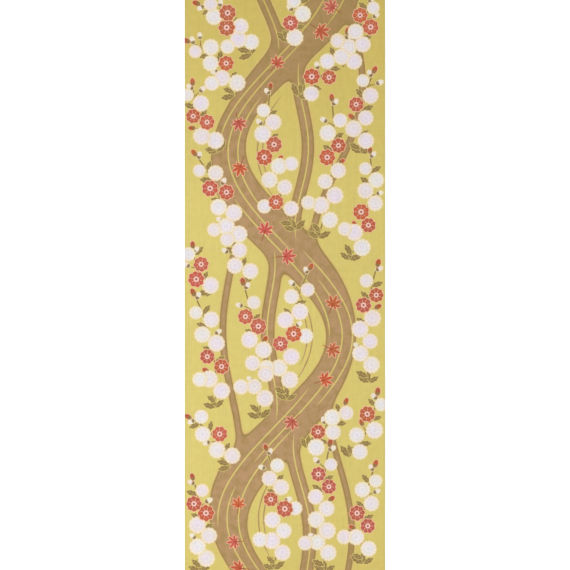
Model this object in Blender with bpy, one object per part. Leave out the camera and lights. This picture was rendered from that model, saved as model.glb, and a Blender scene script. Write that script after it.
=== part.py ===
"""A tenugui towel, laid out flat with its printed side up.

One length of narrow plain-weave cotton. Its long sides are woven selvedges, where the weft turns back
and the cloth is a little thicker, and its short ends are raw cuts. Metres, +Z up: the underside lies
on z = 0, the length runs along Y, and the origin is under the middle of the cloth.
"""

import bmesh
import bpy

# Driving dimensions of the cloth
CLOTH_WIDTH = 0.350        # selvedge to selvedge, the width of the loom
CLOTH_LENGTH = 1.000       # cut end to cut end
CLOTH_THICKNESS = 0.0010   # the body of the cloth

# The selvedge: a narrow, tighter strip along each long side
SELVEDGE_WIDTH = 0.0040
SELVEDGE_RISE = 0.0002     # how much thicker it is than the body
SELVEDGE_SLOPE = 0.0010    # width over which it falls to the body's height
EDGE_ROUNDING = 0.0003     # the turned-back weft rounds the outer edge

# Finish of the dyed cotton
GROUND_COLOUR = (0.686, 0.571, 0.171, 1.0)   # ochre yellow, linear RGB
COTTON_ROUGHNESS = 0.92


def clear_objects():
    """Removes every object, so that the file holds the towel alone."""
    for thing in list(bpy.data.objects):
        bpy.data.objects.remove(thing, do_unlink=True)


def dyed_cotton():
    """The matte, dyed-through cotton of the whole cloth."""
    material = bpy.data.materials.new("dyed_cotton")
    material.use_nodes = True
    shader = material.node_tree.nodes["Principled BSDF"]
    shader.inputs["Base Color"].default_value = GROUND_COLOUR
    shader.inputs["Roughness"].default_value = COTTON_ROUGHNESS
    shader.inputs["Metallic"].default_value = 0.0
    return material


def half_profile():
    """The right half of the cross-section as (x, z) points, from the underside round to the top."""
    side = CLOTH_WIDTH / 2
    selvedge_top = CLOTH_THICKNESS + SELVEDGE_RISE
    selvedge_start = side - SELVEDGE_WIDTH
    return [
        (side - EDGE_ROUNDING, 0.0),
        (side, EDGE_ROUNDING),
        (side, selvedge_top - EDGE_ROUNDING),
        (side - EDGE_ROUNDING, selvedge_top),
        (selvedge_start, selvedge_top),
        (selvedge_start - SELVEDGE_SLOPE, CLOTH_THICKNESS),
    ]


def cross_section():
    """The whole cross-section: the right half, then the same points mirrored on the left."""
    right = half_profile()
    left = [(-x, z) for x, z in reversed(right)]
    return right + left


def cloth():
    """Extrudes the cross-section from one cut end to the other."""
    mesh = bpy.data.meshes.new("cloth")
    shape = bmesh.new()
    end = -CLOTH_LENGTH / 2
    corners = [shape.verts.new((x, end, z)) for x, z in cross_section()]
    near_end = shape.faces.new(corners)
    swept = bmesh.ops.extrude_face_region(shape, geom=[near_end])
    far_corners = [item for item in swept["geom"] if isinstance(item, bmesh.types.BMVert)]
    bmesh.ops.translate(shape, verts=far_corners, vec=(0.0, CLOTH_LENGTH, 0.0))
    bmesh.ops.recalc_face_normals(shape, faces=shape.faces)
    shape.to_mesh(mesh)
    shape.free()

    piece = bpy.data.objects.new("cloth", mesh)
    mesh.materials.append(dyed_cotton())
    bpy.context.scene.collection.objects.link(piece)
    return piece


clear_objects()
cloth()
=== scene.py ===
# %% [markdown]
# # A tenugui towel, laid flat
#
# A tenugui is a hand towel cut from a long bolt of thin, plain-weave cotton. The bolt is woven on a
# narrow loom, so the towel's two long sides are the loom's own edges, the selvedges, and its two short
# ends are simply cut and never hemmed. The pattern isn't printed on top: dye is poured through the
# cloth around a paste that a stencil has laid down, so both faces show the same colours.
#
# First the thin sheet is made here, with its selvedges and its cut ends. Then the pattern is laid out in
# millimetres and written on the mesh, so that the material can draw it sharply. Last comes the material
# itself: dyed cotton, with its weave, its slubs and its uneven dye.

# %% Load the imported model
import math

import bpy
import numpy as np
from mathutils.kdtree import KDTree
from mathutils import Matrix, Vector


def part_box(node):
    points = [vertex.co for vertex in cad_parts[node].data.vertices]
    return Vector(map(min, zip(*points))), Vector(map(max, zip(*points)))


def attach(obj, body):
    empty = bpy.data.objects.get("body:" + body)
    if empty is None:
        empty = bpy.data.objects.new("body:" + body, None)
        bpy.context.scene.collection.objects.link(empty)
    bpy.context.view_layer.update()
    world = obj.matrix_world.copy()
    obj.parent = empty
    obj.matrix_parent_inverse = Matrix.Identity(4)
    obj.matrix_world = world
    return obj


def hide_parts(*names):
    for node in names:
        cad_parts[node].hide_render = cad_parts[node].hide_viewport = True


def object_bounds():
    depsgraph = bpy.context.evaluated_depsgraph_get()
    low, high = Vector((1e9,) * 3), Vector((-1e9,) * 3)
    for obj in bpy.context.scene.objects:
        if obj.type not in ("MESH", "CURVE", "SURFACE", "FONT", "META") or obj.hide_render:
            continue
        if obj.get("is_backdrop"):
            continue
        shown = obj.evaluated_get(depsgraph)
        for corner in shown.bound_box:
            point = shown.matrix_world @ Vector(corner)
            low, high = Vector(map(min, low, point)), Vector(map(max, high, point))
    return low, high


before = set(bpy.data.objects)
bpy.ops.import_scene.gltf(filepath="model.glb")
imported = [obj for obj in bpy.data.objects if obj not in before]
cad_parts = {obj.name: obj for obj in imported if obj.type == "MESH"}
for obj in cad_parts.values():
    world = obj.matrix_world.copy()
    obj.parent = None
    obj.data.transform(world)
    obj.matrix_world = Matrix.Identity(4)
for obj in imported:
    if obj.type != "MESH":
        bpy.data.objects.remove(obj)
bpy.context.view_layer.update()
print("nodes of the solid model:", sorted(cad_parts))

# %% [markdown]
# ## Sizes
#
# Blender works in metres, but a dyer thinks in millimetres, so every size below is in millimetres and is
# turned into metres where a mesh is made. The towel's outer size comes from the solid model. The woven
# sheet is a little smaller, because the turns of the weft stand out at the selvedges and the loose ends of
# the warp stand out at the cuts.

# %% Sizes of the cloth
MM = 0.001
cloth_low, cloth_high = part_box("cloth")
WIDTH = (cloth_high[0] - cloth_low[0]) / MM
LENGTH = (cloth_high[1] - cloth_low[1]) / MM
TURN_REACH = 0.5       # how far a turn of the weft stands out of the selvedge
FRAY_REACH = 1.2       # how far a loose warp end stands out of the cut
SHEET_WIDTH = WIDTH - 2 * TURN_REACH
SHEET_LENGTH = LENGTH - 2 * FRAY_REACH
COTTON_THICK = 0.45    # the real thickness of this cotton
SELVEDGE_WIDE = 4.0    # the tighter strip along each long side
SELVEDGE_EXTRA = 0.15  # how much thicker that strip is
EASE = 1.1             # laid cotton never lies dead flat: it stands off the floor by up to this
THREAD = 1.2           # spacing of the threads; the real 0.4 is too fine to show, so it is drawn coarser
print(f"towel {WIDTH:.0f} x {LENGTH:.0f} mm, woven sheet {SHEET_WIDTH:.1f} x {SHEET_LENGTH:.1f} mm")

# %% [markdown]
# ## The camera
#
# The towel is seen from straight above, as on a copy stand, and a long lens far away keeps its sides
# parallel. The picture is square and cuts the towel just inside its two short ends.

# %% Camera straight above the cloth
FRAME_SPAN = 0.9945    # metres of cloth that the square picture spans
LENS, SENSOR = 85.0, 36.0
ASIDE = 0.0002         # the towel lies this much left of the middle of the picture


def in_scene(name, data):
    """A new object in the scene, for a mesh, a camera or a lamp."""
    made = bpy.data.objects.new(name, data)
    bpy.context.scene.collection.objects.link(made)
    return made


camera = in_scene("copy_stand_camera", bpy.data.cameras.new("copy_stand_camera"))
camera.data.lens = LENS
camera.data.sensor_width = SENSOR
camera.location = (ASIDE, 0.0, FRAME_SPAN * LENS / SENSOR + COTTON_THICK * MM)
bpy.context.scene.camera = camera
print(f"camera {camera.location.z:.3f} m above the floor")

# %% [markdown]
# ## The woven sheet
#
# A laid cloth could be a plane with a Solidify modifier. It is built point by point here instead, because
# its selvedges are thicker. Two grids of points, the underside and the printed side, are joined by a rim,
# which makes one closed, thin shell. A few long, slow waves lift it by a fraction of a millimetre, as
# cotton does when it is laid by hand.

# %% The closed shell of the sheet
CELL = 3.0             # the side of one face of the grid
COLUMNS = round(SHEET_WIDTH / CELL)
ROWS = 2 * round(SHEET_LENGTH / CELL / 2)
SHARP_EDGE = math.radians(50)


def ease(x, y):
    """Height of the underside over the floor, in mm: three slow waves, none of them along an edge."""
    waves = np.sin(x / 34 + y / 83) + np.sin(y / 47 - x / 110 + 2) + np.sin(x / 61 + y / 31 + 4)
    return EASE * (0.5 + waves / 6)


def thickness(x):
    """Thickness of the cotton across its width, in mm."""
    from_edge = SHEET_WIDTH / 2 - np.abs(x)
    rise = np.clip((SELVEDGE_WIDE + CELL / 2 - from_edge) / CELL, 0, 1)
    return COTTON_THICK + SELVEDGE_EXTRA * rise


def woven_sheet():
    """The sheet as one closed mesh, its faces pointing out."""
    x = np.linspace(-SHEET_WIDTH / 2, SHEET_WIDTH / 2, COLUMNS + 1)
    y = np.linspace(-SHEET_LENGTH / 2, SHEET_LENGTH / 2, ROWS + 1)
    x, y = (axis.ravel() for axis in np.meshgrid(x, y))
    under = np.column_stack([x, y, ease(x, y)])
    upper = np.column_stack([x, y, ease(x, y) + thickness(x)])
    point = np.arange(len(x)).reshape(ROWS + 1, COLUMNS + 1)
    corner = [point[:-1, :-1], point[:-1, 1:], point[1:, 1:], point[1:, :-1]]
    hidden = np.column_stack([c.ravel() for c in corner[::-1]])
    printed = hidden[:, ::-1] + len(x)
    rim = np.concatenate([point[0, :-1], point[:-1, -1], point[-1, :0:-1], point[:0:-1, 0]])
    ahead = np.roll(rim, -1)
    wall = np.column_stack([rim, ahead, ahead + len(x), rim + len(x)])
    mesh = bpy.data.meshes.new("woven_cloth")
    faces = np.concatenate([printed, hidden, wall])
    mesh.from_pydata((np.concatenate([under, upper]) * MM).tolist(), [], faces.tolist())
    mesh.shade_smooth()
    mesh.set_sharp_from_angle(angle=SHARP_EDGE)
    return in_scene("woven_cloth", mesh)


cloth = woven_sheet()
print(f"sheet of {COLUMNS} x {ROWS} cells, {len(cloth.data.polygons)} faces")

# %% [markdown]
# ## The turns of the weft and the ends of the warp
#
# At a selvedge the weft thread comes out of the cloth, turns and goes back in, a tiny loop at every other
# pick. At a cut end the last wefts have slipped off, and the warp threads stand free by a millimetre.
# Both are one small shape repeated hundreds of times, which is what Geometry Nodes are for: a line of
# points, one thread on each with a little chance in its length and turn, and then everything realized as
# plain mesh. The towel looks the same after half a turn, so the tree makes one row and joins it with a
# copy that is turned by half a turn.

# %% Helpers for every node tree
SPLIT, COMBINE = "ShaderNodeSeparateXYZ", "ShaderNodeCombineXYZ"


def feed(node, inputs):
    """Sets a node's inputs, in order or by name. An output is linked, and None is passed over."""
    for key, value in inputs.items() if isinstance(inputs, dict) else enumerate(inputs):
        if isinstance(value, bpy.types.NodeSocket):
            node.id_data.links.new(value, node.inputs[key])
        elif value is not None:
            node.inputs[key].default_value = value


def add(tree, kind, inputs=(), *then, out=0, **settings):
    """Adds a node to a tree and gives one of its outputs.

    The kind is a node's type, a Math operation, a Vector Math operation after VECTOR_, or a node group.
    Each step of then is one more node, as its kind and its inputs after the first, which is the last output.
    """
    if isinstance(kind, bpy.types.NodeTree):
        settings["node_tree"] = kind
        kind = "ShaderNodeGroup"
    elif kind.isupper():
        settings["operation"] = kind.removeprefix("VECTOR_")
        kind = "ShaderNodeVectorMath" if kind.startswith("VECTOR_") else "ShaderNodeMath"
    made = tree.nodes.new(kind)
    for name, value in settings.items():
        setattr(made, name, value)
    feed(made, inputs)
    result = made.outputs[out] if made.outputs else None
    for step, *others in then:
        result = add(tree, step, [result, *others])
    return result


def new_group(name, inputs, outputs={"Colour": "Color"}, kind="ShaderNodeTree"):
    """An empty node group with its sockets, and what its inputs give."""
    tree = bpy.data.node_groups.new(name, kind)
    for side, sockets in (("INPUT", inputs), ("OUTPUT", outputs)):
        for label, socket in sockets.items():
            tree.interface.new_socket(label, in_out=side, socket_type="NodeSocket" + socket)
    return tree, tree.nodes.new("NodeGroupInput").outputs


# %% A Geometry Nodes tree for two rows of threads
RANDOM = "FunctionNodeRandomValue"
ROW_INPUTS = {
    "Count": "Int", "Row Start": "Vector", "Row End": "Vector", "Thread Radius": "Float",
    "Thread Start": "Vector", "Thread Bend": "Vector", "Thread End": "Vector", "Facing": "Float",
    "Least Length": "Float", "Most Turn": "Float", "Seed": "Int", "Finish": "Material",
}


def thread_row_tree():
    """Threads that stand out of a row towards Facing, and the same row on the other side of the towel."""
    tree, given = new_group("thread_rows", ROW_INPUTS, {"Geometry": "Geometry"}, "GeometryNodeTree")
    row = add(
        tree, "GeometryNodeMeshLine",
        {"Count": given["Count"], "Start Location": given["Row Start"], "Offset": given["Row End"]},
        mode="END_POINTS",
    )
    path = add(
        tree, "GeometryNodeCurveQuadraticBezier",
        {"Resolution": 8, "Start": given["Thread Start"], "Middle": given["Thread Bend"],
         "End": given["Thread End"]},
    )
    section = add(
        tree, "GeometryNodeCurvePrimitiveCircle", {"Resolution": 5, "Radius": given["Thread Radius"]}
    )
    thread = add(
        tree, "GeometryNodeCurveToMesh", {"Curve": path, "Profile Curve": section, "Fill Caps": True}
    )
    length = add(
        tree, RANDOM, {2: given["Least Length"], 3: 1.0, "Seed": given["Seed"]}, out=1, data_type="FLOAT"
    )
    least_turn = add(tree, "MULTIPLY", [given["Most Turn"], -1.0])
    other_seed = add(tree, "ADD", [given["Seed"], 1.0])
    turn = add(
        tree, RANDOM, {2: least_turn, 3: given["Most Turn"], "Seed": other_seed}, ("ADD", given["Facing"]),
        out=1, data_type="FLOAT",
    )
    threads = add(
        tree, "GeometryNodeInstanceOnPoints",
        {"Points": row, "Instance": thread, "Rotation": add(tree, COMBINE, {"Z": turn}),
         "Scale": add(tree, COMBINE, [length, 1.0, 1.0])},
    )
    opposite = add(
        tree, "GeometryNodeTransform", {"Geometry": threads, "Rotation": (0.0, 0.0, math.pi)}
    )
    both = add(tree, "GeometryNodeJoinGeometry", [threads])
    tree.links.new(opposite, both.node.inputs[0])
    real = add(tree, "GeometryNodeRealizeInstances", [both])
    finished = add(tree, "GeometryNodeSetMaterial", {"Geometry": real, "Material": given["Finish"]})
    add(tree, "NodeGroupOutput", [finished])
    return tree


row_tree = thread_row_tree()
print("thread rows tree has", len(row_tree.nodes), "nodes")

# %% One run of the tree, kept as a plain mesh


def points_of(mesh):
    """The place of every point of a mesh, a row for each, in metres."""
    place = np.empty(3 * len(mesh.vertices), np.float32)
    mesh.vertices.foreach_get("co", place)
    return place.reshape(-1, 3)


def thread_rows(name, values):
    """Runs the tree once and keeps its result as a plain mesh that lies in the cloth's own height."""
    holder = in_scene(name, bpy.data.meshes.new(name))
    nodes = holder.modifiers.new("rows", "NODES")
    nodes.node_group = row_tree
    for socket in row_tree.interface.items_tree:
        if socket.name in values:
            nodes[socket.identifier] = values[socket.name]
    seen = holder.evaluated_get(bpy.context.evaluated_depsgraph_get())
    mesh = bpy.data.meshes.new_from_object(seen)
    holder.modifiers.remove(nodes)
    holder.data = mesh
    mesh.name = name
    place = points_of(mesh)
    place[:, 2] += (ease(place[:, 0] / MM, place[:, 1] / MM) + COTTON_THICK / 2) * MM
    mesh.vertices.foreach_set("co", place.ravel())
    mesh.shade_smooth()
    return holder


def metres(*millimetres):
    """A point given in millimetres, in metres."""
    return tuple(value * MM for value in millimetres)


# %% Two rows along the selvedges and two along the cuts
cotton = bpy.data.materials.new("stencil_dyed_cotton")
TURN_RADIUS = 0.22
TURN_DEPTH = 0.6       # how far behind its row a turn starts and ends, inside the sheet
TURN_SPREAD = 1.0      # how far to each side it starts and ends, so that at the edge it spans one pick
TURN_BEND = 1.2        # how far before its row the curve's middle handle is; the curve goes half as far
turn_row = WIDTH / 2 - TURN_RADIUS - (TURN_BEND - TURN_DEPTH) / 2
turn_half = SHEET_LENGTH / 2 - THREAD
weft_turns = thread_rows("weft_turns", {
    "Count": int(turn_half / THREAD) + 1,    # one turn to every two picks of the weft
    "Row Start": metres(turn_row, -turn_half, 0), "Row End": metres(turn_row, turn_half, 0),
    "Thread Radius": TURN_RADIUS * MM, "Thread Start": metres(-TURN_DEPTH, -TURN_SPREAD, 0),
    "Thread Bend": metres(TURN_BEND, 0, 0), "Thread End": metres(-TURN_DEPTH, TURN_SPREAD, 0),
    "Facing": 0.0, "Least Length": 0.85, "Most Turn": 0.1, "Seed": 3, "Finish": cotton,
})
END_RADIUS = 0.11
END_SPACING = 0.6      # finer than the drawn weave, for the ends show one by one
end_half = SHEET_WIDTH / 2 - END_SPACING
warp_ends = thread_rows("warp_ends", {
    "Count": int(2 * end_half / END_SPACING) + 1,
    "Row Start": metres(-end_half, SHEET_LENGTH / 2, 0), "Row End": metres(end_half, SHEET_LENGTH / 2, 0),
    "Thread Radius": END_RADIUS * MM, "Thread Start": metres(-0.5, 0, 0),
    "Thread Bend": metres(0.5, 0.3, 0.08), "Thread End": metres(FRAY_REACH - 0.06, -0.1, -0.1),
    "Facing": math.pi / 2, "Least Length": 0.3, "Most Turn": 0.4, "Seed": 11, "Finish": cotton,
})
for rows in (weft_turns, warp_ends):
    print(rows.name, len(rows.data.polygons), "faces, box", [round(v / MM, 1) for v in rows.dimensions])

# %% [markdown]
# ## The pattern, in millimetres
#
# The pattern is a stream with chrysanthemums, an old subject on such towels. Broad brown water winds down
# the ochre ground, side channels leave it and come back, and thin lines run along the current. Sprays of
# white chrysanthemums grow from the banks, with a few red daisies, and red maple leaves drift on the
# water.
#
# A picture could be painted and wrapped on the cloth. Here the pattern is worked out from a few sizes
# instead, so it changes with a number. The origin is the middle of the towel, and Y runs up its length.

# %% The stream and its side channels
FAR = 1000.0           # a distance so great that nothing is drawn
STREAM_SWING = 98.0    # how far the stream swings to each side
STREAM_WAVE = 640.0    # length of one whole bend
STREAM_ZERO = 392.0    # where it crosses the middle of the towel
STREAM_HALF = 33.0     # half its width, which swells and narrows by the next value
STREAM_SWELL = 7.0
SWELL_WAVE = 410.0
CONFLUENCE = 16.0      # how softly the banks round off where two waters meet
CHANNELS = {
    # how far it swings out, where it leaves the stream, where it comes back, half its width
    "upper right": (138.0, 452.0, 18.0, 11.0),
    "upper far right": (212.0, 560.0, -20.0, 6.0),
    "left": (-128.0, 128.0, -300.0, 12.0),
    "far left": (-206.0, 200.0, -372.0, 6.0),
    "lower right": (140.0, -196.0, -640.0, 12.0),
    "lower far right": (214.0, -130.0, -700.0, 5.5),
    "top left": (-150.0, 760.0, 352.0, 11.0),
}


def water_x(name, y):
    """The middle of the stream, or of a side channel, at a height on the towel."""
    middle = STREAM_SWING * np.sin(2 * np.pi * (y - STREAM_ZERO) / STREAM_WAVE)
    if name == "stream":
        return middle
    swing, high, low = CHANNELS[name][:3]
    way = np.clip((y - low) / (high - low), 0, 1)
    return middle + swing * np.sin(np.pi * way) ** 2


def distance_to(name, x, y):
    """Distance from the water's middle line: the level distance, less where the line slants."""
    slope = (water_x(name, y + 1) - water_x(name, y - 1)) / 2
    return np.abs(x - water_x(name, y)) / np.sqrt(1 + slope ** 2)


def bank_distance(x, y):
    """Distance from the nearest bank, negative in the water. Where two waters meet, their banks blend."""
    half = STREAM_HALF + STREAM_SWELL * np.sin(2 * np.pi * y / SWELL_WAVE)
    nearest = distance_to("stream", x, y) - half
    for name, (swing, high, low, half) in CHANNELS.items():
        other = np.where((y < high) & (y > low), distance_to(name, x, y) - half, FAR)
        blend = np.clip(0.5 + (other - nearest) / (2 * CONFLUENCE), 0, 1)
        nearest = other + (nearest - other) * blend - CONFLUENCE * blend * (1 - blend)
    return nearest


grid = np.meshgrid(np.linspace(-WIDTH / 2, WIDTH / 2, 176), np.linspace(-LENGTH / 2, LENGTH / 2, 501))
print(f"water covers {np.mean(bank_distance(*grid) < 0):.0%} of the towel")

# %% [markdown]
# ## Strokes: lines of the current, and stems
#
# A line of the current and a stem are the same thing to a stencil cutter: a stroke that runs along a path
# and tapers at its end. So each is kept as the points of its path and half its width at each of them.

# %% Lines that run with the current
STEP = 2.0             # spacing of the points along a stroke
RIPPLE_HALF = 1.15
RIPPLE_TAPER = 32.0    # length over which a line of the current tapers to nothing
RIPPLES = [
    # its water, how far it runs to the side of that water's middle, its high end and its low end
    ("stream", -17.0, 520, 250), ("stream", -1.0, 430, 60), ("stream", 16.0, 330, 130),
    ("stream", 18.0, 530, 448), ("stream", -20.0, 150, -90), ("stream", 20.0, 60, -210),
    ("stream", 2.0, 10, -310), ("stream", -19.0, -180, -420), ("stream", 17.0, -250, -520),
    ("stream", -3.0, -350, -530), ("stream", 50.0, 330, 150), ("stream", 59.0, 290, 180),
    ("stream", -50.0, 10, -170), ("stream", -59.0, -30, -140), ("stream", 52.0, -320, -480),
    ("stream", 61.0, -350, -450), ("upper right", 1.0, 388, 80), ("left", -1.0, 60, -235),
    ("lower right", 1.0, -260, -530), ("top left", 0.0, 530, 410),
]


def ripple(water, aside, high, low):
    """A line of the current, a set distance to one side of its water's middle."""
    y = np.arange(low, high + STEP, STEP)
    from_end = np.minimum(y - low, high - y)
    half = RIPPLE_HALF * np.sqrt(np.clip(from_end / RIPPLE_TAPER, 0, 1))
    return np.column_stack([water_x(water, y) + aside, y]), half


ripples = [ripple(*line) for line in RIPPLES]
print(len(ripples), "lines of the current")

# %% [markdown]
# ## Sprays
#
# Each spray is one bowed stem that grows from a bank, out of a foot of three leaves. Its flowers sit left
# and right of the stem in turn, as a chrysanthemum's do, with a leaf or a bud across from each, and two
# buds end it. Some flowers have a twin on a side shoot. The small differences from flower to flower come
# from one random generator with a fixed seed.

# %% The table of sprays
SPRAYS = [
    # root, tip, how far it bows, how many flowers, which of them are red, how many have a twin
    ((-58, 402), (-140, 486), -12, 7, (3, 4), 1),
    ((-88, 330), (-158, 420), -14, 6, (2,), 1),
    ((-118, 232), (-160, 340), 8, 6, (2, 3), 0),
    ((4, 424), (26, 500), -5, 4, (1,), 0),
    ((100, 380), (146, 492), -10, 7, (4, 5), 1),
    ((22, 330), (104, 428), -10, 6, (1, 2), 0),
    ((18, 96), (-28, 318), 16, 10, (1, 5, 6), 2),
    ((58, 82), (84, 300), -10, 9, (5, 6), 1),
    ((112, 44), (150, 214), -12, 8, (2, 3), 1),
    ((132, 230), (150, 360), 8, 6, (3,), 0),
    ((-84, 60), (-146, 214), -10, 8, (4, 5), 1),
    ((2, -200), (34, 8), 14, 9, (3, 4), 2),
    ((-44, -232), (-66, -20), -8, 9, (6, 7), 1),
    ((-58, 8), (-92, 86), 8, 4, (), 0),
    ((-122, -214), (-150, -34), -12, 8, (2, 3), 1),
    ((-128, -16), (-160, 60), 6, 4, (1, 2), 0),
    ((-96, -318), (-158, -236), -10, 5, (2,), 0),
    ((146, -170), (156, 16), 10, 8, (5, 6), 0),
    ((-20, -496), (-26, -306), -12, 9, (4, 5), 2),
    ((70, -500), (74, -300), 8, 9, (6, 7), 1),
    ((136, -486), (152, -330), 8, 7, (2, 3), 1),
    ((112, -300), (160, -200), -8, 5, (3,), 0),
    ((36, -284), (102, -214), -8, 5, (1,), 0),
    ((-148, -500), (-156, -352), -8, 7, (4, 5), 0),
]
print(len(SPRAYS), "sprays")

# %% Stems and side shoots
STEM_HALF = 1.2
STEM_TAPER = 14.0      # length over which a stem tapers to its tip
SHOOT_POINTS = 12


def bow_points(root, tip, bow, share):
    """Points at these shares of the way along a bowed stem, and a unit step to its left at each."""
    left = np.array([root[1] - tip[1], tip[0] - root[0]]) / np.hypot(*(tip - root))
    bend = (root + tip) / 2 + left * 2 * bow
    share = share[:, None]
    points = (1 - share) ** 2 * root + 2 * share * (1 - share) * bend + share ** 2 * tip
    onward = (1 - share) * (bend - root) + share * (tip - bend)
    onward /= np.hypot(onward[:, :1], onward[:, 1:])
    return points, np.column_stack([-onward[:, 1], onward[:, 0]])


def stem(path):
    """A stem along a path: its foot is round, and it tapers to its tip."""
    from_foot = np.hypot(*(path - path[0]).T) / STEM_HALF
    from_tip = np.hypot(*(path - path[-1]).T) / STEM_TAPER
    return path, STEM_HALF * np.sqrt(np.clip(np.minimum(from_foot, from_tip), 0, 1))


def shoot(start, end):
    """A straight side shoot, as a stem."""
    return stem(start + np.linspace(0, 1, SHOOT_POINTS)[:, None] * (end - start))


# %% Flowers, leaves and buds, each as (x, y, radius, turn)
CHANCE = np.random.default_rng(7)
# The least and the most of what chance decides, in mm: radii, lengths, and distances from the stem.
FLOWER, LAST_FLOWER, TWIN, MAPLE = (12.1, 14.1), (10.0, 11.8), (11, 12.5), (15.3, 18.7)
FOOT_LEAF, LEAF, BUD, END_BUD = (19, 25), (18, 23), (11, 13), (12, 14)
FLOWER_AWAY, TWIN_AWAY, BUD_AWAY = (8, 12), (28, 34), (12, 15)
# How far the foot's leaves, a bud on a shoot and the tip's second bud turn, in radians.
FOOT_SPREAD, BUD_TURN, SECOND_TURN = (-1.0, 0.1, 1.1), 0.3, 0.9
FLOWERS_ALONG, LEAVES_ALONG = (0.16, 0.94), (0.05, 0.9)    # first and last, as shares of the way up
OUTWARD, FORWARD = 0.85, 0.55    # a leaf's step away from the stem, and along it
STEM_END = 1.12        # the stem runs on to the buds, as far as this share of the way up
grown = {name: [] for name in ("stem", "shoot", "leaf", "maple", "bud", "red_bud", "white", "daisy")}


def bloom(kind, spot, radii):
    """Adds a flower or a maple leaf, turned by chance."""
    grown[kind].append((*spot, CHANCE.uniform(*radii), CHANCE.uniform(0, 6)))


def stand(kind, foot, heading, lengths):
    """Adds a leaf or a bud: its foot is on the stem, and its radius is half its length."""
    half = CHANCE.uniform(*lengths) / 2
    middle = foot + half * np.array([math.cos(heading), math.sin(heading)])
    grown[kind].append((*middle, half, heading))


def grow(root, tip, bow, count, red, twins):
    """Adds a spray's stems and motifs to what has grown."""
    root, tip = np.array(root, float), np.array(tip, float)
    steps = int(np.hypot(*(tip - root)) * STEM_END / STEP)
    path = bow_points(root, tip, bow, np.linspace(0, STEM_END, steps))[0]
    grown["stem"].append(stem(path))
    upward = math.atan2(tip[1] - root[1], tip[0] - root[0])
    for turn in FOOT_SPREAD:
        stand("leaf", path[0], upward + turn, FOOT_LEAF)
    points, left = bow_points(root, tip, bow, np.linspace(*FLOWERS_ALONG, count))
    for i in range(count):
        side = left[i] if i % 2 else -left[i]
        spot = points[i] + side * CHANCE.uniform(*FLOWER_AWAY)
        bloom("daisy" if i in red else "white", spot, FLOWER if i < count - 1 else LAST_FLOWER)
        if i % 3 == 1 and i // 3 < twins:
            twin = points[i] + side * CHANCE.uniform(*TWIN_AWAY)
            grown["shoot"].append(shoot(points[i], twin))
            bloom("white", twin, TWIN)
    # Across from each flower a leaf stands out of the stem, or for every third one a bud on a shoot.
    points, left = bow_points(root, tip, bow, np.linspace(*LEAVES_ALONG, count))
    for i in range(count):
        side = -left[i] if i % 2 else left[i]
        outward = OUTWARD * side + FORWARD * np.array([left[i][1], -left[i][0]])
        heading = math.atan2(outward[1], outward[0])
        if i % 3 != 2:
            stand("leaf", points[i], heading, LEAF)
            continue
        foot = points[i] + outward * CHANCE.uniform(*BUD_AWAY)
        grown["shoot"].append(shoot(points[i], foot))
        kind = "red_bud" if i + 1 in red else "bud"
        stand(kind, foot, heading + CHANCE.uniform(-BUD_TURN, BUD_TURN), BUD)
    heading = math.atan2(*(path[-1] - path[-4])[::-1])
    stand("red_bud" if red else "bud", path[-4], heading, END_BUD)
    stand("bud", path[-7], heading + CHANCE.choice([-SECOND_TURN, SECOND_TURN]), BUD)


# %% Everything that grows, and the leaves that drift on the water
# Where a maple leaf drifts: its height on the towel, and how far it is from the stream's middle.
DRIFT = [(484, 6), (444, 13), (386, -9), (284, 5), (206, 17), (94, -14), (50, -19), (-34, -1),
         (-112, -14), (-166, -3), (-238, 4), (-384, 14), (-448, 4), (-494, -14)]
# A leaf or a bud is left out if a flower's middle is nearer than this share of the flower's radius.
COVERED = {"leaf": 0.9, "bud": 1.05, "red_bud": 1.05}
for spray in SPRAYS:
    grow(*spray)
flowers = np.array(grown["white"] + grown["daisy"])
for name, share in COVERED.items():
    motifs = np.array(grown[name])
    away = np.hypot(motifs[:, :1] - flowers[:, 0], motifs[:, 1:2] - flowers[:, 1])
    grown[name] = motifs[(away > share * flowers[:, 2]).all(axis=1)].tolist()
    print(f"{name}: {len(motifs) - len(grown[name])} of {len(motifs)} left out")
for y, aside in DRIFT:
    bloom("maple", (water_x("stream", y) + aside, y), MAPLE)
print({name: len(parts) for name, parts in grown.items()})

# %% [markdown]
# ## Writing the pattern on the mesh
#
# The grid's faces are 3 mm wide, far too coarse to hold a petal's edge as colours on its corners. But a
# place is a thing that a face carries exactly: if its corners know where they lie from the middle of a
# flower, every point between them is right too. So each face gets a short list of the flowers that touch
# it, in the order in which they are dyed, and its corners get their place in each flower's own frame. The
# material then draws the petals from that place, as sharp as the render asks. Leaves are written alike.
#
# Each face also takes the nearest stroke, and its corners get how far they lie to its side and half its
# width there. The bank of the stream is smooth and wide, so a plain distance on each point is enough.

# %% Corners and middles of the faces
REACH = 4.0            # how far past its edge a motif or a stroke is still drawn on a face


def faces_of(mesh):
    """Each face corner's place, the face that it belongs to, and each face's middle, in mm."""
    vertex = np.empty(len(mesh.loops), np.int32)
    mesh.loops.foreach_get("vertex_index", vertex)
    sides = np.empty(len(mesh.polygons), np.int32)
    mesh.polygons.foreach_get("loop_total", sides)
    corners = points_of(mesh)[vertex, :2].astype(float) / MM
    owner = np.repeat(np.arange(len(sides)), sides)
    starts = np.concatenate([[0], np.cumsum(sides)[:-1]])
    middles = np.add.reduceat(corners, starts) / sides[:, None]
    return corners, owner, middles


def write(mesh, name, values, kind="FLOAT_VECTOR", domain="CORNER"):
    """Stores one value for each corner, or for each point, under a name that the material reads."""
    layer = mesh.attributes.new(name, kind, domain)
    field = "vector" if kind == "FLOAT_VECTOR" else "value"
    layer.data.foreach_set(field, np.asarray(values, np.float32).ravel())


# %% Motifs on the faces that they touch


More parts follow.
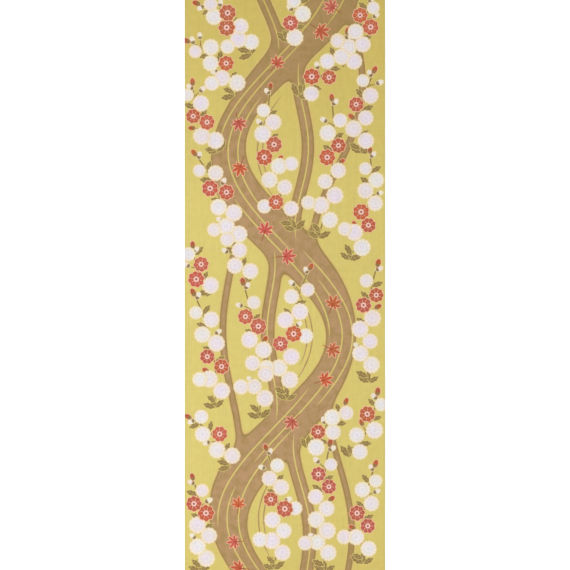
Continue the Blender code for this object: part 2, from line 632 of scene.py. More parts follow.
def in_frame(x, y, motif):
    """Places in a motif's own frame: along its turn and across it, from its middle."""
    away_x, away_y = x - motif[..., 0], y - motif[..., 1]
    cosine, sine = np.cos(motif[..., 3]), np.sin(motif[..., 3])
    return away_x * cosine + away_y * sine, away_y * cosine - away_x * sine


def write_motifs(mesh, name, motifs, slots, wide):
    """Gives each face its first motifs in dyeing order; returns how many faces have more than they hold."""
    corners, owner, middles = faces_of(mesh)
    motifs = np.array(motifs)
    along, across = in_frame(middles[:, :1], middles[:, 1:], motifs)
    # A motif is an oval: wide is its width as a share of its length.
    touches = np.hypot(along / (motifs[:, 2] + REACH), across / (wide * motifs[:, 2] + REACH)) < 1
    order = touches.cumsum(axis=1)
    for slot in range(slots):
        here = touches & (order == slot + 1)
        motif = motifs[here.argmax(axis=1)][owner]
        local = np.column_stack([*in_frame(*corners.T, motif), motif[:, 2]])
        local[~here.any(axis=1)[owner]] = (FAR, 0, 1)
        write(mesh, f"{name}_{slot}", local)
    return int((order[:, -1] > slots).sum())


# %% Strokes on the faces near them


def write_strokes(mesh, name, strokes):
    """Gives each face its nearest stroke: to its side, half its width, and along it."""
    corners, owner, middles = faces_of(mesh)
    path, half = (np.concatenate(part) for part in zip(*strokes))
    onward = np.concatenate([np.gradient(points, axis=0) for points, halves in strokes])
    pace = np.hypot(onward[:, :1], onward[:, 1:])
    onward /= pace
    growth = np.concatenate([np.gradient(halves) for points, halves in strokes]) / pace[:, 0]
    tree = KDTree(len(path))
    for number, (x, y) in enumerate(path):
        tree.insert((x, y, 0), number)
    tree.balance()
    found = [tree.find((x, y, 0))[1:] for x, y in middles]
    nearest, gap = (np.array(part)[owner] for part in zip(*found))
    away = corners - path[nearest]
    ahead = onward[nearest]
    along = (away * ahead).sum(axis=1)
    aside = away[:, 1] * ahead[:, 0] - away[:, 0] * ahead[:, 1]
    local = np.column_stack([aside, half[nearest] + growth[nearest] * along, along])
    local[gap > STEM_HALF + REACH] = (FAR, 0, 0)
    write(mesh, name, local)


# %% The whole pattern on every piece of the cloth
LEAF_WIDE = 0.5        # a leaf's width as a share of its length
BUD_WIDE = 0.64
KINDS = {              # how many of each kind a face can hold, and how wide one is for its length
    "leaf": (4, LEAF_WIDE), "maple": (1, 1.0), "bud": (2, BUD_WIDE), "red_bud": (1, BUD_WIDE),
    "white": (3, 1.0), "daisy": (2, 1.0),
}
STROKES = {"ripple": ripples, "stem": grown["stem"], "shoot": grown["shoot"]}
for piece in (cloth, weft_turns, warp_ends):
    mesh = piece.data
    for name, strokes in STROKES.items():
        write_strokes(mesh, name, strokes)
    missed = {name: write_motifs(mesh, name, grown[name], *kind) for name, kind in KINDS.items()}
    x, y = points_of(mesh)[:, :2].T.astype(float) / MM
    write(mesh, "bank", bank_distance(x, y), "FLOAT", "POINT")
    print(piece.name, "carries the pattern; faces touched by more motifs than they hold:", missed)

# %% [markdown]
# ## A flat map of the sheet
#
# A renderer needs no flat map to draw this cloth, but a game engine does: there the pattern is baked into
# one square picture. Left to itself Blender would lay the long sheet down once for each face, at half the
# sharpness. Both faces carry the same pattern, so here they share one place on the map, and the towel is
# cut across its middle into two strips that lie side by side. The rim is unfolded a little outwards.

# %% The map
STRIP_GAP = 7.0        # mm left free round each strip
RIM_WIDE = 2.0         # mm that the rim takes on the map, so that it holds at least a pixel


def write_map(mesh):
    """Two half-length strips side by side, for both faces of the sheet, and its rim unfolded."""
    corners, owner, middles = faces_of(mesh)
    rim_corner = owner >= 2 * COLUMNS * ROWS
    lower = rim_corner & (np.arange(len(owner)) % 4 < 2)
    middle = middles[owner]
    at_side = np.abs(middle[:, 0]) > SHEET_WIDTH / 2 - CELL / 10
    outward = np.where(at_side[:, None], (1.0, 0.0), (0.0, 1.0)) * np.sign(middle)
    place = corners + RIM_WIDE * outward * lower[:, None]
    far_half = middle[:, 1] > 0
    place[:, 0] += SHEET_WIDTH / 2 + STRIP_GAP + far_half * (SHEET_WIDTH + 2 * STRIP_GAP)
    place[:, 1] += np.where(far_half, 0.0, SHEET_LENGTH / 2) + STRIP_GAP
    place /= (2 * SHEET_WIDTH + 4 * STRIP_GAP, SHEET_LENGTH / 2 + 2 * STRIP_GAP)
    layer = mesh.uv_layers.new(name="OFBake")
    layer.data.foreach_set("uv", place.astype(np.float32).ravel())
    return place


unfolded = write_map(cloth.data)
print("map reaches from", unfolded.min(axis=0).round(3), "to", unfolded.max(axis=0).round(3))

# %% [markdown]
# ## Dyes
#
# Five colours make the towel: an ochre ground, a brown for the water, an olive brown for the stems, a brick
# red, and the bare cotton, which is a warm white. They are written as sRGB hex, as a colour picker shows
# them, and one function turns them into the linear values that a shader works in.

# %% The colours


def linear(hex_colour):
    """An sRGB hex colour as linear RGBA."""
    shares = [int(hex_colour[i:i + 2], 16) / 255 for i in (0, 2, 4)]
    return (*(s / 12.92 if s <= 0.04045 else ((s + 0.055) / 1.055) ** 2.4 for s in shares), 1.0)


OCHRE = linear("D8C772")
# A darker ochre, mixed in as painted shade where the light falls off.
OCHRE_SHADED = linear("CBB55E")
WATER_BROWN = linear("B79269")
# A darker brown, mixed in as painted shade where the light falls off.
WATER_SHADED = linear("A88756")
BANK_OLIVE = linear("9B8248")
BANK_CREAM = linear("D8B972")
STEM_OLIVE = linear("917746")
LEAF_VEIN = linear("BDA766")
COTTON_WHITE = linear("EDE0CC")
PASTE_CREAM = linear("E8D5AF")
PETAL_SHADE = linear("E4DCE2")
PETAL_INNER = linear("E8E1E3")
PETAL_LINE = linear("DCD1D4")
BRICK_RED = linear("C6634B")
BUD_ORANGE = linear("BA6436")
RED_LINE = linear("A24327")
RED_MARGIN = linear("EAB18D")
HEART_PINK = linear("F0BFB3")
HEART_BROWN = linear("854832")
print("ochre in linear light:", [round(share, 3) for share in OCHRE])

# %% [markdown]
# ## Drawing with dye
#
# Every mark on the towel is the same act: inside an edge one dye replaces what is under it, and at the
# edge the two run together over less than a millimetre. That act is one node group, which takes the
# colour under it, the dye, the distance from the edge, how soft the edge is and how far the dye spreads
# past it. Distances are in millimetres and negative inside. A flower is a chain of such marks.

# %% The group that lays one dye
MIX = "ShaderNodeMix"
MIX_COLOURS = {"out": 2, "data_type": "RGBA"}    # the Mix node's two colours are its inputs 6 and 7
FINE, SOFT = 0.5, 0.9    # mm over which two dyes run together, at a line and at a broad edge
DYE_INPUTS = {"Under": "Color", "Dye": "Color", "Distance": "Float", "Softness": "Float", "Spread": "Float"}
dye, given = new_group("lay_dye", DYE_INPUTS)
away = add(dye, "SUBTRACT", [given["Distance"], given["Spread"]], ("DIVIDE", given["Softness"]))
cover = add(dye, "SUBTRACT", [0.5, away], use_clamp=True)
mixed = add(dye, MIX, {0: cover, 6: given["Under"], 7: given["Dye"]}, **MIX_COLOURS)
add(dye, "NodeGroupOutput", [mixed])
print("dye group:", len(dye.nodes), "nodes")

# %% The group that gives each motif a tint of its own
# No two flowers drank the same. They differ in size, so sines of the size turn each one's colour a little.
TINT_PACE = (7.0, 9.0, 23.0)       # radians a millimetre, for red, green and blue
WHITE_TINT = (0.0, 0.035, 0.035)    # the most that each of these changes, as a share
RED_TINT = (0.1, 0.12, 0.33)
ONES = (1.0, 1.0, 1.0)
own_tint, given = new_group("own_tint", {"Dye": "Color", "Radius": "Float", "Amount": "Vector"})
waves = add(own_tint, "VECTOR_SCALE", {0: TINT_PACE, "Scale": given["Radius"]}, ("VECTOR_SINE",))
tinted = add(
    own_tint, "VECTOR_MULTIPLY_ADD", [waves, given["Amount"], ONES], ("VECTOR_MULTIPLY", given["Dye"])
)
add(own_tint, "NodeGroupOutput", [tinted])
print("tint group:", len(own_tint.nodes), "nodes")

# %% [markdown]
# ## The outline of a flower
#
# A round flower's edge goes in and out once for each petal. In the flower's own frame the angle round the
# middle, times the number of petals, gives a wave that is 0 at a petal's tip and 1 in the gap between two.
# That wave, raised to a power, cuts into the outer circle. The same formula gives a maple leaf, if the
# cuts are deep and straight and the lobes grow shorter towards the stalk.

# %% The group that measures a flower
OUTLINE_INPUTS = dict.fromkeys(("Place", "Petals", "Depth", "Roundness", "Shortening"), "Float")
OUTLINE_INPUTS["Place"] = "Vector"
MEASURES = dict.fromkeys(("Distance", "Share", "Gap", "Out", "Radius", "From Middle", "From Side"), "Float")
LEAST_OUT, LEAST_GAP = 0.01, 0.04    # so that nothing is divided by zero
outline, given = new_group("petal_rim", OUTLINE_INPUTS, MEASURES)
x, y, radius = add(outline, SPLIT, [given["Place"]]).node.outputs
level = add(outline, COMBINE, [x, y, 0.0])
out = add(outline, "VECTOR_LENGTH", [level], ("MAXIMUM", LEAST_OUT), out=1)
angle = add(outline, "ARCTAN2", [y, x])
gap = add(
    outline, "MULTIPLY", [angle, given["Petals"]], ("DIVIDE", 2 * math.pi), ("PINGPONG", 0.5),
    ("MULTIPLY", 2.0),
)
safe_gap = add(outline, "MAXIMUM", [gap, LEAST_GAP])
cut = add(outline, "POWER", [safe_gap, given["Roundness"]], ("MULTIPLY", given["Depth"]))
kept = add(outline, "SUBTRACT", [1.0, cut])
shorter = add(outline, "DIVIDE", [angle, math.pi], ("POWER", 2.0), ("MULTIPLY", given["Shortening"]))
reach = add(outline, "SUBTRACT", [1.0, shorter], ("MULTIPLY", radius))
rim = add(outline, "MULTIPLY", [reach, kept])
# The edge slopes where it runs into a gap, so the distance outwards is more than the distance to the edge.
steep = add(
    outline, "DIVIDE", [cut, safe_gap], ("MULTIPLY", given["Roundness"]), ("MULTIPLY", given["Petals"]),
    ("MULTIPLY", reach), ("DIVIDE", out), ("DIVIDE", math.pi), (COMBINE, 1.0, 0.0),
)
slant = add(outline, "VECTOR_LENGTH", [steep], out=1)
half_petal = add(outline, "DIVIDE", [math.pi, given["Petals"]], ("MULTIPLY", out))
add(outline, "NodeGroupOutput", {
    "Distance": add(outline, "SUBTRACT", [out, rim], ("DIVIDE", slant)),
    "Share": add(outline, "DIVIDE", [out, rim]),
    "Gap": gap, "Out": out, "Radius": radius,
    "From Middle": add(outline, "MULTIPLY", [gap, half_petal]),
    "From Side": add(outline, "SUBTRACT", [1.0, gap], ("MULTIPLY", half_petal)),
})
print("outline group:", len(outline.nodes), "nodes")

# %% [markdown]
# ## The white chrysanthemum
#
# It is bare cotton that the paste has kept from the dye. Twelve blunt petals ring it, a second whorl
# stands inside them, and fine lines part the petals. The middle takes a breath of a cool pink, the rim
# stays the whitest, and a cream margin shows where a little dye has crept under the paste.

# %% The group that draws a white chrysanthemum
RANGE = "ShaderNodeMapRange"
MOTIF_INPUTS = {"Under": "Color", "Place": "Vector"}
FLOWER_MARGIN = 1.6
WHITE_PETALS = (12.0, 0.12, 2.2, 0.0)    # how many, the depth and roundness of the gaps, no shortening
WHITE_FROM, WHITE_FULL = 0.4, 0.95       # shares of the radius between which the petals whiten
LINE_END = 0.93                          # share of the radius where the lines between petals end
WHORL, WHORL_CUT, HEART = 0.6, 0.09, 0.24    # shares of the radius: inner whorl, cuts into it, heart
flower, given = new_group("white_chrysanthemum", MOTIF_INPUTS)
rim = add(flower, outline, [given["Place"], *WHITE_PETALS]).node.outputs
rise = add(flower, RANGE, [rim["Share"], WHITE_FROM, WHITE_FULL], interpolation_type="SMOOTHSTEP")
line = add(
    flower, "SUBTRACT", [rim["Share"], LINE_END], ("MULTIPLY", rim["Radius"]), ("MAXIMUM", rim["From Side"])
)
# The inner whorl is set half a petal round, and a line marks its edge.
whorl = add(
    flower, "SUBTRACT", [1.0, rim["Gap"]], ("POWER", 2.0), ("MULTIPLY_ADD", -WHORL_CUT, WHORL),
    ("MULTIPLY", rim["Radius"]),
)
inward = add(flower, "SUBTRACT", [rim["Out"], whorl])
heart = add(flower, "MULTIPLY_ADD", [rim["Radius"], -HEART, rim["Out"]])
petal = add(
    flower, MIX, {0: rise, 6: PETAL_SHADE, 7: COTTON_WHITE},
    (dye, PETAL_LINE, line, FINE, 0.4), (dye, PETAL_LINE, inward, FINE),
    (dye, PETAL_INNER, inward, SOFT, -0.8), (dye, PETAL_LINE, heart, SOFT),
    (dye, PETAL_SHADE, heart, SOFT, -1.0), (own_tint, rim["Radius"], WHITE_TINT), **MIX_COLOURS,
)
colour = add(
    flower, dye, [given["Under"], PASTE_CREAM, rim["Distance"], SOFT, FLOWER_MARGIN],
    (dye, petal, rim["Distance"], SOFT),
)
add(flower, "NodeGroupOutput", [colour])
print("white chrysanthemum group:", len(flower.nodes), "nodes")

# %% [markdown]
# ## The red daisy and the red maple leaf
#
# Red is brushed on through a second stencil. The daisy has eight petals, each with a darker edge and a fine
# line of paste to part it from the next, and then a pink ring and a brown dot. A salmon margin shows round
# it, where the red has thinned into the paste. The maple leaf has the same red and margin, and a dark vein
# runs out along each lobe.

# %% The group that draws a red daisy
DAISY_PETALS = (8.0, 0.22, 2.0, 0.0)
DARK_EDGE = 1.0        # mm of darker red round the petals
RINGS = ((RED_LINE, 0.43), (HEART_PINK, 0.37), (HEART_BROWN, 0.13))    # each with its share of the radius
daisy, given = new_group("red_daisy", MOTIF_INPUTS)
rim = add(daisy, outline, [given["Place"], *DAISY_PETALS]).node.outputs
red = add(daisy, own_tint, [BRICK_RED, rim["Radius"], RED_TINT])
edging = add(daisy, "ADD", [rim["Distance"], DARK_EDGE], ("MAXIMUM", rim["From Side"]))
colour = add(
    daisy, dye, [given["Under"], RED_MARGIN, rim["Distance"], SOFT, FLOWER_MARGIN],
    (dye, RED_LINE, rim["Distance"], FINE), (dye, red, rim["Distance"], SOFT, -DARK_EDGE),
    (dye, RED_LINE, edging, FINE, 1.3), (dye, RED_MARGIN, edging, FINE, 0.55),
)
for ring_dye, share in RINGS:
    ring = add(daisy, "MULTIPLY", [rim["Radius"], share])
    colour = add(daisy, dye, [colour, ring_dye, rim["Out"], FINE, ring])
add(daisy, "NodeGroupOutput", [colour])
print("red daisy group:", len(daisy.nodes), "nodes")

# %% The group that draws a red maple leaf
LOBES = (360 / 42, 0.6, 1.15, 0.8)    # they are 42 degrees apart; those at the stalk are too short to show
VEIN_END = 0.85
maple, given = new_group("red_maple_leaf", MOTIF_INPUTS)
rim = add(maple, outline, [given["Place"], *LOBES]).node.outputs
red = add(maple, own_tint, [BRICK_RED, rim["Radius"], RED_TINT])
# A vein runs from the middle along each lobe, nearly to its tip.
vein = add(
    maple, "SUBTRACT", [rim["Share"], VEIN_END], ("MULTIPLY", rim["Radius"]), ("MAXIMUM", rim["From Middle"])
)
# The stalk is a short line on the other side, from the middle to as far out as the lobes reach.
x, y = add(maple, SPLIT, [given["Place"]]).node.outputs[:2]
behind = add(maple, "ADD", [x, rim["Radius"]], ("MULTIPLY", -1.0))
stalk = add(maple, "ABSOLUTE", [y], ("MAXIMUM", x), ("MAXIMUM", behind))
colour = add(
    maple, dye, [given["Under"], RED_MARGIN, rim["Distance"], SOFT, 1.0], (dye, red, rim["Distance"], FINE),
    (dye, RED_LINE, vein, FINE, 0.3), (dye, RED_LINE, stalk, FINE, 0.6),
)
add(maple, "NodeGroupOutput", [colour])
print("red maple leaf group:", len(maple.nodes), "nodes")

# %% [markdown]
# ## The chrysanthemum's leaf
#
# The leaf lies along the X axis of its own frame. Half its width is a sine over its length, which swells
# and tapers, times a second, faster sine that cuts the notches between its lobes. A margin of paste keeps
# it apart from what it crosses, and a rib and side veins are left in the ground's colour.

# %% The group that draws a leaf
LEAF_NOTCH = 0.28      # depth of a notch, as a share of half its width
LEAF_LOBES = 3
LEAF_BLUNT = 0.8       # the power that makes its ends blunter than a sine's
VEIN_LEAN, VEIN_START = 0.35, 0.92    # how far a side vein leans, and where on the rib the first one starts
VEIN_MARGIN = 1.1      # mm from the edge at which the veins end
leaf, given = new_group("notched_leaf", MOTIF_INPUTS)
x, y, radius = add(leaf, SPLIT, [given["Place"]]).node.outputs
aside = add(leaf, "ABSOLUTE", [y])
share = add(leaf, "DIVIDE", [x, radius])
share = add(leaf, "MULTIPLY_ADD", [share, 0.5, 0.5], use_clamp=True)
swell = add(leaf, "MULTIPLY", [share, math.pi], ("SINE",), ("MAXIMUM", 0.01), ("POWER", LEAF_BLUNT))
wide = add(
    leaf, "MULTIPLY", [share, LEAF_LOBES * math.pi], ("SINE",), ("ABSOLUTE",),
    ("MULTIPLY_ADD", -LEAF_NOTCH, 1.0), ("MULTIPLY", swell), ("MULTIPLY", radius), ("MULTIPLY", LEAF_WIDE),
)
beyond = add(leaf, "ABSOLUTE", [x], ("SUBTRACT", radius))
edge = add(leaf, "SUBTRACT", [aside, wide], ("MAXIMUM", beyond))
inside = add(leaf, "ADD", [edge, VEIN_MARGIN])
# Side veins lean forward from the rib to the middle of each lobe.
vein = add(
    leaf, "DIVIDE", [aside, radius], ("MULTIPLY_ADD", -VEIN_LEAN, share),
    ("MULTIPLY_ADD", LEAF_LOBES, VEIN_START), ("PINGPONG", 0.5), ("MULTIPLY", radius),
    ("MULTIPLY", 2 / LEAF_LOBES), ("MINIMUM", aside), ("MAXIMUM", inside),
)
colour = add(
    leaf, dye, [given["Under"], OCHRE, edge, FINE, 0.9], (dye, STEM_OLIVE, edge, FINE),
    (dye, LEAF_VEIN, vein, FINE, 0.25),
)
add(leaf, "NodeGroupOutput", [colour])
print("leaf group:", len(leaf.nodes), "nodes")

# %% [markdown]
# ## Buds
#
# A bud is an oval along the X axis of its own frame. Two lines part its petals, and a calyx with three
# points holds its foot. White and red buds are the same group with other dyes.

# %% The group that draws a bud, and its two colourings
BUD_INPUTS = {**MOTIF_INPUTS, "Petal": "Color", "Line": "Color", "Margin": "Color", "Tint": "Vector"}
LINE_BOW = 0.4         # how far the two lines bow out, as a share of half the bud's width
LINE_MARGIN = 0.5      # mm from the edge at which they end
OVAL_SCALE = 0.8       # brings a squeezed circle's measure near a distance, at its sides and its tips
# How close the calyx's points stand, how steep they are, and how far behind the bud's middle they end.
POINT_PACE, POINT_STEEP, POINT_END = 2.4, 0.7, 0.1
bud, given = new_group("flower_bud", BUD_INPUTS)
x, y, radius = add(bud, SPLIT, [given["Place"]]).node.outputs
aside = add(bud, "ABSOLUTE", [y])
widened = add(bud, "MULTIPLY", [aside, 1 / BUD_WIDE])
oval = add(bud, COMBINE, [x, widened, 0.0])
oval = add(bud, "VECTOR_LENGTH", [oval], ("SUBTRACT", radius), ("MULTIPLY", OVAL_SCALE), out=1)
inside = add(bud, "ADD", [oval, LINE_MARGIN])
petal = add(bud, own_tint, [given["Petal"], radius, given["Tint"]])
line = add(bud, "DIVIDE", [x, radius], ("POWER", 2.0))
line = add(
    bud, "SUBTRACT", [1.0, line], ("MULTIPLY", radius), ("MULTIPLY_ADD", -BUD_WIDE * LINE_BOW, aside),
    ("ABSOLUTE",), ("MAXIMUM", inside), use_clamp=True,
)
calyx = add(
    bud, "DIVIDE", [aside, radius], ("MULTIPLY", POINT_PACE), ("PINGPONG", 0.5),
    ("MULTIPLY_ADD", POINT_STEEP, POINT_END), ("MULTIPLY_ADD", radius, x), ("MAXIMUM", oval),
)
colour = add(
    bud, dye, [given["Under"], given["Margin"], oval, SOFT, 1.2], (dye, petal, oval, SOFT),
    (dye, given["Line"], line, FINE, 0.25), (dye, STEM_OLIVE, calyx, FINE, 0.3),
)
add(bud, "NodeGroupOutput", [colour])
BUD_DYES = {
    "bud": [COTTON_WHITE, PETAL_LINE, PASTE_CREAM, WHITE_TINT],
    "red_bud": [BUD_ORANGE, RED_LINE, RED_MARGIN, RED_TINT],
}
print("bud group:", len(bud.nodes), "nodes")

# %% [markdown]
# ## The material: stencil-dyed cotton
#
# The order of the nodes is the order of the dyer's work: the ground, the water, its lines, the stems and
# leaves, then the drifting maple leaves, the buds, the white flowers and the daisies. Before anything is
# drawn, every place is shaken by a third of a millimetre of noise, because a stencil's edge is cut by hand
# and dye creeps along the threads.

# %% Places on the cloth
NOISE = "ShaderNodeTexNoise"
HALVES = (0.5, 0.5, 0.5)    # the middle of a noise's colours
HAND_WAVER = 0.8       # mm, from one extreme to the other
WAVER_SIZE = 4.0       # mm between one waver and the next
cotton.use_nodes = True
tree = cotton.node_tree
place = add(tree, "ShaderNodeTexCoord", out=3)
place = add(tree, "VECTOR_SCALE", {0: place, "Scale": 1 / MM})
waver = add(
    tree, NOISE, {"Vector": place, "Scale": 1 / WAVER_SIZE, "Detail": 2.0}, ("VECTOR_SUBTRACT", HALVES),
    ("VECTOR_MULTIPLY", (HAND_WAVER, HAND_WAVER, 0.0)), out=1,
)
waver_x, waver_y = add(tree, SPLIT, [waver]).node.outputs[:2]
place_x, place_y = add(tree, SPLIT, [place]).node.outputs[:2]
print("edges waver over", HAND_WAVER, "mm")

# %% Ground and water, with painted shade that darkens them at the top, at the foot and to the right
PAINTED_FALLOFF = ((80.0, 540.0, 0.75), (-300.0, -560.0, 0.35))    # from this height to that one, by this much
RIGHTWARD, MIDWAY = 0.25, 0.12    # growth of the painted shade's share over the width, and its share midway
STAIN_SIZE, STAIN_MOST, STAIN_NOISE = 13.0, 0.65, (0.42, 0.7)    # mm, strength, and noise it spans
BANK_WIDE = 2.6        # the dye is darker along the bank, and fades over as much again
SHORE_WIDE = 2.0       # a pale margin outside the bank
# Painted shade: the ground and the water grow darker towards the top, the foot and the right.
painted_shade = add(tree, "MULTIPLY_ADD", [place_x, RIGHTWARD / WIDTH, MIDWAY])
for weak, strong, share in PAINTED_FALLOFF:
    falloff_step = add(tree, RANGE, [place_y, weak, strong, 0.0, share], interpolation_type="SMOOTHSTEP")
    painted_shade = add(tree, "ADD", [painted_shade, falloff_step])
ground = add(tree, MIX, {0: painted_shade, 6: OCHRE, 7: OCHRE_SHADED}, **MIX_COLOURS)
water = add(tree, MIX, {0: painted_shade, 6: WATER_BROWN, 7: WATER_SHADED}, **MIX_COLOURS)
# The brown is two dyes in one bath, and where it stood longer it has turned olive.
stain = add(
    tree, NOISE, {"Vector": place, "Scale": 1 / STAIN_SIZE, "Detail": 3.0},
    (RANGE, *STAIN_NOISE, 0.0, STAIN_MOST),
)
water = add(tree, MIX, {0: stain, 6: water, 7: BANK_OLIVE}, **MIX_COLOURS)
bank = add(tree, "ShaderNodeAttribute", (), ("ADD", waver_x), out=2, attribute_name="bank")
colour = add(
    tree, dye, [ground, BANK_CREAM, bank, SOFT, SHORE_WIDE], (dye, BANK_OLIVE, bank, SOFT),
    (dye, water, bank, BANK_WIDE, -BANK_WIDE),
)
print("ground and water:", len(tree.nodes), "nodes")

# %% Lines of the current, then shoots and stems inside a thin margin of paste
STEM_MARGIN = 0.8


def stroke_edge(name, shake):
    """Distance from the edge of the nearest stroke of this name."""
    stroke = add(tree, "ShaderNodeAttribute", (), (SPLIT,), out=1, attribute_name=name).node.outputs
    return add(tree, "ADD", [stroke[0], shake], ("ABSOLUTE",), ("SUBTRACT", stroke[1]))


# A line of the current is brown on the ground and ochre on the water.
line_dye = add(tree, dye, [water, ground, bank, SOFT])
colour = add(tree, dye, [colour, line_dye, stroke_edge("ripple", waver_y), SOFT])
for name in ("shoot", "stem"):
    edge = stroke_edge(name, waver_x)
    colour = add(tree, dye, [colour, ground, edge, FINE, STEM_MARGIN], (dye, STEM_OLIVE, edge, FINE))
print("and strokes:", len(tree.nodes), "nodes")

# %% Leaves, maple leaves, buds, white flowers and daisies, one group node for each slot
DRAWN_BY = {"leaf": leaf, "maple": maple, "bud": bud, "red_bud": bud, "white": flower, "daisy": daisy}
for name, (slots, wide) in KINDS.items():
    for slot in range(slots):
        local = add(
            tree, "ShaderNodeAttribute", (), ("VECTOR_ADD", waver), out=1, attribute_name=f"{name}_{slot}"
        )
        colour = add(tree, DRAWN_BY[name], [colour, local, *BUD_DYES.get(name, [])])
print("and motifs:", len(tree.nodes), "nodes")

# %% [markdown]
# ## Threads, slubs and uneven dye
#
# Hand-poured dye is never even. Broad clouds of it are a little stronger or weaker, and single threads that
# are thicker, the slubs, drink more of it and run as faint streaks along the warp and the weft.
#
# The threads themselves are too fine for the mesh, so they are a bump. In a plain weave every thread goes
# over one and under the next. Each crossing is a small mound, round across the thread that is on top and
# long along it, and which thread that is changes from one crossing to the next, like a chessboard's
# squares. The hollows between the mounds hold a little shade, so the height darkens the dye as well.

# %% The plain weave as a height
WANDER, WANDER_SIZE = 1.6, 25.0    # mm that a thread wanders, and mm between one bend of it and the next
SQUARE, LONG = 1.0, 0.45    # powers that round a mound off across its thread, and stretch it along it
wander = add(tree, NOISE, {"Vector": place, "Scale": 1 / WANDER_SIZE, "Detail": 3.0}, out=1)
threads = add(tree, "VECTOR_SCALE", {0: wander, "Scale": WANDER}, ("VECTOR_ADD", place))
threads = add(tree, "VECTOR_SCALE", {0: threads, "Scale": math.pi / THREAD}, ("VECTOR_SINE",))
signs = add(tree, SPLIT, [threads]).node.outputs
warp_on_top = add(tree, "MULTIPLY", [signs[0], signs[1]], ("GREATER_THAN", 0.0))
mounds = add(tree, "VECTOR_ABSOLUTE", [threads], (SPLIT,)).node.outputs
across = add(tree, "MULTIPLY_ADD", [warp_on_top, SQUARE - LONG, LONG])
along = add(tree, "MULTIPLY_ADD", [warp_on_top, LONG - SQUARE, SQUARE])
along = add(tree, "POWER", [mounds[1], along])
weave = add(tree, "POWER", [mounds[0], across], ("MULTIPLY", along))
print("threads", THREAD, "mm apart")

# %% Fibres, which run along whichever thread is on top
FIBRE_WIDE, FIBRE_LONG = 0.14, 1.6    # mm
on_warp = add(tree, "VECTOR_MULTIPLY", [place, (1 / FIBRE_WIDE, 1 / FIBRE_LONG, 0.0)])
on_weft = add(tree, "VECTOR_MULTIPLY", [place, (1 / FIBRE_LONG, 1 / FIBRE_WIDE, 0.0)])
run = add(tree, MIX, {0: warp_on_top, 4: on_weft, 5: on_warp}, out=1, data_type="VECTOR")
fibre = add(tree, NOISE, {"Vector": run, "Scale": 1.0, "Detail": 1.0})
print("fibres", FIBRE_WIDE, "mm wide")

# %% Uneven dye, with painted shade in the weave's hollows and painted light on its mounds
HUE_SIZE, HUE_CHANGE = 20.0, (0.06, 0.06, 0.2)    # mm, and the range for red, green and blue
PAINTED_HOLLOW_SHADE, PAINTED_MOUND_LIGHT = 0.9, 1.04    # how light the weave's hollows and mound tops are: painted shade and painted light
SELVEDGE_DARK = 0.93         # how light the tighter strip is
UNEVEN = (                   # size across and along in mm, and how strong
    (140.0, 170.0, 0.08),    # clouds
    (9.0, 11.0, 0.13),       # blots
    (1.6, 95.0, 0.15),       # slubs of the warp
    (70.0, 1.6, 0.09),       # slubs of the weft
)
colour = add(
    tree, NOISE, {"Vector": place, "Scale": 1 / HUE_SIZE, "Detail": 3.0}, ("VECTOR_SUBTRACT", HALVES),
    ("VECTOR_MULTIPLY_ADD", HUE_CHANGE, ONES), ("VECTOR_MULTIPLY", colour), out=1,
)
# The weave's height paints shade into its hollows and light onto its mounds; the noises after it are uneven
# dye.
strength = add(tree, "MULTIPLY_ADD", [weave, PAINTED_MOUND_LIGHT - PAINTED_HOLLOW_SHADE, PAINTED_HOLLOW_SHADE])
for wide, high, share in UNEVEN:
    stretched = add(tree, "VECTOR_MULTIPLY", [place, (1 / wide, 1 / high, 0.0)])
    patch = add(tree, NOISE, {"Vector": stretched, "Scale": 1.0, "Detail": 2.0}, ("SUBTRACT", 0.5))
    strength = add(tree, "MULTIPLY_ADD", [patch, share, strength])
strength = add(
    tree, "ABSOLUTE", [place_x], (RANGE, WIDTH / 2 - SELVEDGE_WIDE, WIDTH / 2 - 1.0, 1.0, SELVEDGE_DARK),
    ("MULTIPLY", strength),
)
colour = add(tree, "VECTOR_SCALE", {0: colour, "Scale": strength})
print("and uneven dye:", len(tree.nodes), "nodes")

# %% Bump and roughness
# Cotton's short fibres scatter the light, so the eye sees a matte, dry face with no glint on it.
WEAVE_HEIGHT = 0.16    # mm from the top of a thread to the hollow between threads
FIBRE_HEIGHT = 0.35    # height of the fibres as a share of that
height = add(tree, "MULTIPLY_ADD", [fibre, FIBRE_HEIGHT, weave])
bump = add(tree, "ShaderNodeBump", {"Strength": 1.0, "Distance": WEAVE_HEIGHT * MM, "Height": height})
feed(tree.nodes["Principled BSDF"], {
    "Base Color": colour, "Normal": bump, "Roughness": add(tree, RANGE, [fibre, 0.3, 0.7, 0.86, 0.96]),
    "Metallic": 0.0, "IOR": 1.5, "Specular IOR Level": 0.25, "Sheen Weight": 0.1, "Sheen Roughness": 0.6,
})
cloth.data.materials.append(cotton)
print("cotton material:", len(tree.nodes), "nodes")

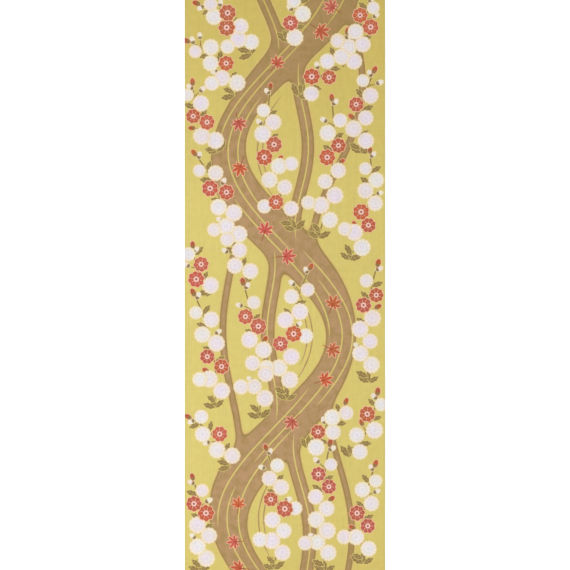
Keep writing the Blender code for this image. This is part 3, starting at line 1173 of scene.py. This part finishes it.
# %% [markdown]
# ## Floor and light
#
# The towel lies on a plain white floor under soft light. A pale world gives most of the light, and one
# softbox stands to the lower left, so the towel's far corner is a little darker. Its light comes in at a
# slant, so it is what brings out the threads. The floor glows faintly, like the lit table of a copy
# stand, which keeps the backdrop pure white.

# %% The floor
FLOOR_HALF = 8.0       # metres
WHITE_LIGHT = (1.0, 1.0, 1.0, 1.0)
floor = in_scene("floor", bpy.data.meshes.new("floor"))
floor_corners = [(x * FLOOR_HALF, y * FLOOR_HALF, 0) for x, y in ((-1, -1), (1, -1), (1, 1), (-1, 1))]
floor.data.from_pydata(floor_corners, [], [(0, 1, 2, 3)])
floor.location = (0.0, 0.0, -0.05 * MM)
paint = bpy.data.materials.new("matte_white_paint")
paint.use_nodes = True
feed(paint.node_tree.nodes["Principled BSDF"], {
    "Base Color": linear("FBFBFA"), "Roughness": 0.9, "Specular IOR Level": 0.1,
    "Emission Color": WHITE_LIGHT, "Emission Strength": 0.2,
})
floor.data.materials.append(paint)
floor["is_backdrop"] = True
print("floor", 2 * FLOOR_HALF, "m wide")

# %% The light
world = bpy.data.worlds.new("pale_room")
world.use_nodes = True
sky = world.node_tree
direction = add(sky, "ShaderNodeTexCoord")
height = add(sky, SPLIT, [direction], out=2)
# The room is palest at the horizon, so that it runs on from the floor without a seam.
strength = add(sky, RANGE, [height, 0.0, 0.5, 1.0, 0.81])
feed(sky.nodes["Background"], {"Color": WHITE_LIGHT, "Strength": strength})
bpy.context.scene.world = world
lamp = in_scene("softbox", bpy.data.lights.new("softbox", "AREA"))
lamp.data.shape = "SQUARE"
lamp.data.size = 1.2
lamp.data.energy = 28.0
lamp.location = (-1.6, -0.8, 2.0)
toward_towel = -lamp.location
lamp.rotation_euler = toward_towel.to_track_quat("-Z", "Y").to_euler()
bpy.context.scene.view_settings.view_transform = "Standard"
print("softbox", round(lamp.location.length, 2), "m from the towel")

# %% [markdown]
# ## Attach the pieces
#
# The cloth stands for the solid model's sheet. The weft's turns and the warp's ends belong to the same
# length of cotton, so they ride with it on the same body.

for piece in (cloth, weft_turns, warp_ends):
    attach(piece, "root")
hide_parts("cloth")
low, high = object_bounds()
print("visual box", [round(v, 4) for v in low], [round(v, 4) for v in high])
